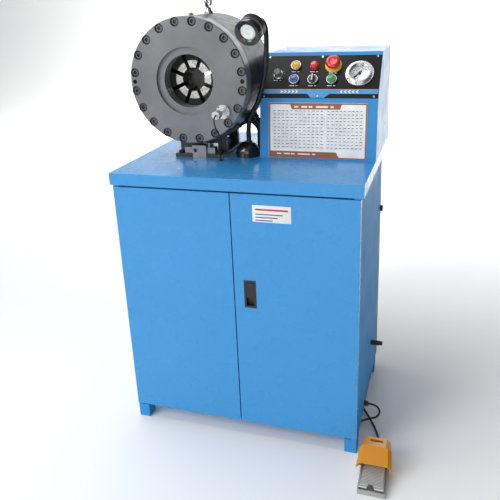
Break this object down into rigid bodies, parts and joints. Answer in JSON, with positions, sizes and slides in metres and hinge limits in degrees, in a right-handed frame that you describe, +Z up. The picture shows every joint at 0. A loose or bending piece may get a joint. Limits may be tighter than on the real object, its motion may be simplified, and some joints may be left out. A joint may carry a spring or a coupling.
{
  "type": "hydraulic hose crimping machine",
  "caption": "Cabinet-mounted hydraulic hose crimper: sliding cone head with radial dies, control console, work lamp, doors over the power pack, foot pedal on a cable.",
  "frame": {"origin": "middle of the machine's box on the floor, free cables left out", "axes": "+Z up, the doors and the head's face look towards -Y, +X to the operator's right"},
  "size_m": [0.7984, 0.716, 1.257],
  "materials": {
    "cabinet_blue": "gloss",
    "door_blue": "gloss",
    "console_blue": "gloss",
    "rear_dark": "satin",
    "gunmetal": "satin",
    "blackened_steel": "satin",
    "die_steel": "satin",
    "bright_steel": "polished",
    "machined_aluminium": "satin",
    "fitting_brass": "satin",
    "black_plastic": "matte",
    "gloss_black": "gloss",
    "cable_black": "matte",
    "hose_rubber": "matte",
    "motor_grey": "satin",
    "pump_grey": "satin",
    "tank_grey": "satin",
    "electrical_grey": "satin",
    "chart_white": "satin",
    "plate_black": "satin",
    "button_yellow": "gloss",
    "button_blue": "gloss",
    "button_green": "gloss",
    "stop_red": "gloss",
    "lamp_red": "gloss",
    "selector_black": "gloss",
    "knob_grey": "satin",
    "gauge_steel": "polished",
    "clear_glass": "polished",
    "lens_white": "satin",
    "pedal_orange": "gloss",
    "pedal_grey": "satin",
    "tread_grey": "satin"
  },
  "bodies": {
    "machine": {"tabletop": "cabinet_blue", "cabinet_body": "cabinet_blue", "rear_panel": "rear_dark", "cabinet_feet": "cabinet_blue", "hinge_pins": "bright_steel", "oil_tank": "tank_grey", "electric_motor": "motor_grey", "hydraulic_pump": "pump_grey", "valve_block": "machined_aluminium", "electrical_box": "electrical_grey", "hydraulic_hoses": "hose_rubber", "glands_and_grommets": "black_plastic", "head_body": "gunmetal", "front_cover": "gunmetal", "cover_screws": "blackened_steel", "rear_cover": "blackened_steel", "bleed_plug": "fitting_brass", "lifting_eye": "bright_steel", "head_cradle": "gunmetal", "cradle_bolts": "blackened_steel", "manifold_block": "machined_aluminium", "position_sensor": "machined_aluminium", "sensor_cable": "cable_black", "console_box": "console_blue", "console_face_plate": "plate_black", "face_plate_screws": "bright_steel", "chart_plate": "chart_white", "control_bezels": "machined_aluminium", "indicator_lamp": "lamp_red", "gauge_case": "gauge_steel", "gauge_glass": "clear_glass", "lamp_base": "gloss_black", "lamp_gooseneck": "black_plastic", "pedal_base": "pedal_grey", "pedal_hood": "pedal_orange", "pedal_pin": "bright_steel", "pedal_cable": "cable_black"},
    "left_door": {"left_door": "door_blue"},
    "right_door": {"right_door": "door_blue", "door_pull_cup": "black_plastic"},
    "door_pull": {"door_pull": "black_plastic"},
    "ram": {"ram": "blackened_steel"},
    "die_1": {"crimping_die_1": "die_steel"},
    "die_2": {"crimping_die_2": "die_steel"},
    "die_3": {"crimping_die_3": "die_steel"},
    "die_4": {"crimping_die_4": "die_steel"},
    "die_5": {"crimping_die_5": "die_steel"},
    "die_6": {"crimping_die_6": "die_steel"},
    "die_7": {"crimping_die_7": "die_steel"},
    "die_8": {"crimping_die_8": "die_steel"},
    "gauge_needle": {"gauge_needle": "selector_black"},
    "yellow_button": {"push_button_yellow": "button_yellow"},
    "blue_button": {"push_button_blue": "button_blue"},
    "green_button": {"push_button_green": "button_green"},
    "emergency_stop": {"emergency_stop": "stop_red"},
    "selector_switch": {"selector_switch": "selector_black"},
    "speed_knob": {"speed_knob": "knob_grey"},
    "pedal_tread": {"pedal_tread": "tread_grey"},
    "lamp_head": {"lamp_head": "gloss_black", "lamp_lens": "lens_white"}
  },
  "joints": [
    {"name": "left_door_hinge", "type": "hinge", "parent": "machine", "child": "left_door", "pos_m": [-0.38315, -0.204, 0.3985], "axis": [0, 0, -1], "range_deg": [0, 110]},
    {"name": "right_door_hinge", "type": "hinge", "parent": "machine", "child": "right_door", "pos_m": [0.28485, -0.204, 0.3985], "axis": [0, 0, 1], "range_deg": [0, 90]},
    {"name": "door_pull_hinge", "type": "hinge", "parent": "right_door", "child": "door_pull", "pos_m": [-0.00315, -0.21, 0.501], "axis": [-1, 0, 0], "range_deg": [0, 50], "stiffness_Nm_per_rad": 0.15, "springref_deg": -17.19},
    {"name": "ram_slide", "type": "slide", "parent": "machine", "child": "ram", "axis": [0, -1, 0], "range_m": [0, 0.035]},
    {"name": "die_1_slide", "type": "slide", "parent": "machine", "child": "die_1", "axis": [-1, 0, 0], "range_m": [0, 0.0094]},
    {"name": "die_2_slide", "type": "slide", "parent": "machine", "child": "die_2", "axis": [-0.7071, 0, -0.7071], "range_m": [0, 0.0094]},
    {"name": "die_3_slide", "type": "slide", "parent": "machine", "child": "die_3", "axis": [0, 0, -1], "range_m": [0, 0.0094]},
    {"name": "die_4_slide", "type": "slide", "parent": "machine", "child": "die_4", "axis": [0.7071, 0, -0.7071], "range_m": [0, 0.0094]},
    {"name": "die_5_slide", "type": "slide", "parent": "machine", "child": "die_5", "axis": [1, 0, 0], "range_m": [0, 0.0094]},
    {"name": "die_6_slide", "type": "slide", "parent": "machine", "child": "die_6", "axis": [0.7071, 0, 0.7071], "range_m": [0, 0.0094]},
    {"name": "die_7_slide", "type": "slide", "parent": "machine", "child": "die_7", "axis": [0, 0, 1], "range_m": [0, 0.0094]},
    {"name": "die_8_slide", "type": "slide", "parent": "machine", "child": "die_8", "axis": [-0.7071, 0, 0.7071], "range_m": [0, 0.0094]},
    {"name": "gauge_needle_turn", "type": "hinge", "parent": "machine", "child": "gauge_needle", "pos_m": [0.24385, 0.07688, 1.03024], "axis": [0, 0.7861, -0.6181], "range_deg": [0, 270], "stiffness_Nm_per_rad": 0.002, "springref_deg": -17.19},
    {"name": "yellow_button_press", "type": "slide", "parent": "machine", "child": "yellow_button", "axis": [0, 0.7861, -0.6181], "range_m": [0, 0.004], "stiffness_N_per_m": 500, "springref_m": -0.002},
    {"name": "blue_button_press", "type": "slide", "parent": "machine", "child": "blue_button", "axis": [0, 0.7861, -0.6181], "range_m": [0, 0.004], "stiffness_N_per_m": 500, "springref_m": -0.002},
    {"name": "green_button_press", "type": "slide", "parent": "machine", "child": "green_button", "axis": [0, 0.7861, -0.6181], "range_m": [0, 0.004], "stiffness_N_per_m": 500, "springref_m": -0.002},
    {"name": "emergency_stop_press", "type": "slide", "parent": "machine", "child": "emergency_stop", "axis": [0, 0.7861, -0.6181], "range_m": [0, 0.005]},
    {"name": "selector_turn", "type": "hinge", "parent": "machine", "child": "selector_switch", "pos_m": [0.11535, 0.06923, 1.01081], "axis": [0, 0.7861, -0.6181], "range_deg": [-45, 45]},
    {"name": "speed_knob_turn", "type": "hinge", "parent": "machine", "child": "speed_knob", "pos_m": [0.01285, 0.07974, 1.02417], "axis": [0, 0.7861, -0.6181], "range_deg": [-135, 135]},
    {"name": "pedal_press", "type": "hinge", "parent": "machine", "child": "pedal_tread", "pos_m": [0.35085, -0.246, 0.017], "axis": [1, 0, 0], "range_deg": [0, 3.5], "stiffness_Nm_per_rad": 30, "springref_deg": -2.86},
    {"name": "lamp_tilt", "type": "hinge", "parent": "machine", "child": "lamp_head", "pos_m": [-0.017, -0.02212, 1.174], "axis": [-0.9864, 0.1644, 0], "range_deg": [-20, 20]}
  ],
  "couplings": [
    {"joint": "die_1_slide", "follows": "ram_slide", "ratio": 0.26795},
    {"joint": "die_2_slide", "follows": "ram_slide", "ratio": 0.26795},
    {"joint": "die_3_slide", "follows": "ram_slide", "ratio": 0.26795},
    {"joint": "die_4_slide", "follows": "ram_slide", "ratio": 0.26795},
    {"joint": "die_5_slide", "follows": "ram_slide", "ratio": 0.26795},
    {"joint": "die_6_slide", "follows": "ram_slide", "ratio": 0.26795},
    {"joint": "die_7_slide", "follows": "ram_slide", "ratio": 0.26795},
    {"joint": "die_8_slide", "follows": "ram_slide", "ratio": 0.26795}
  ]
}
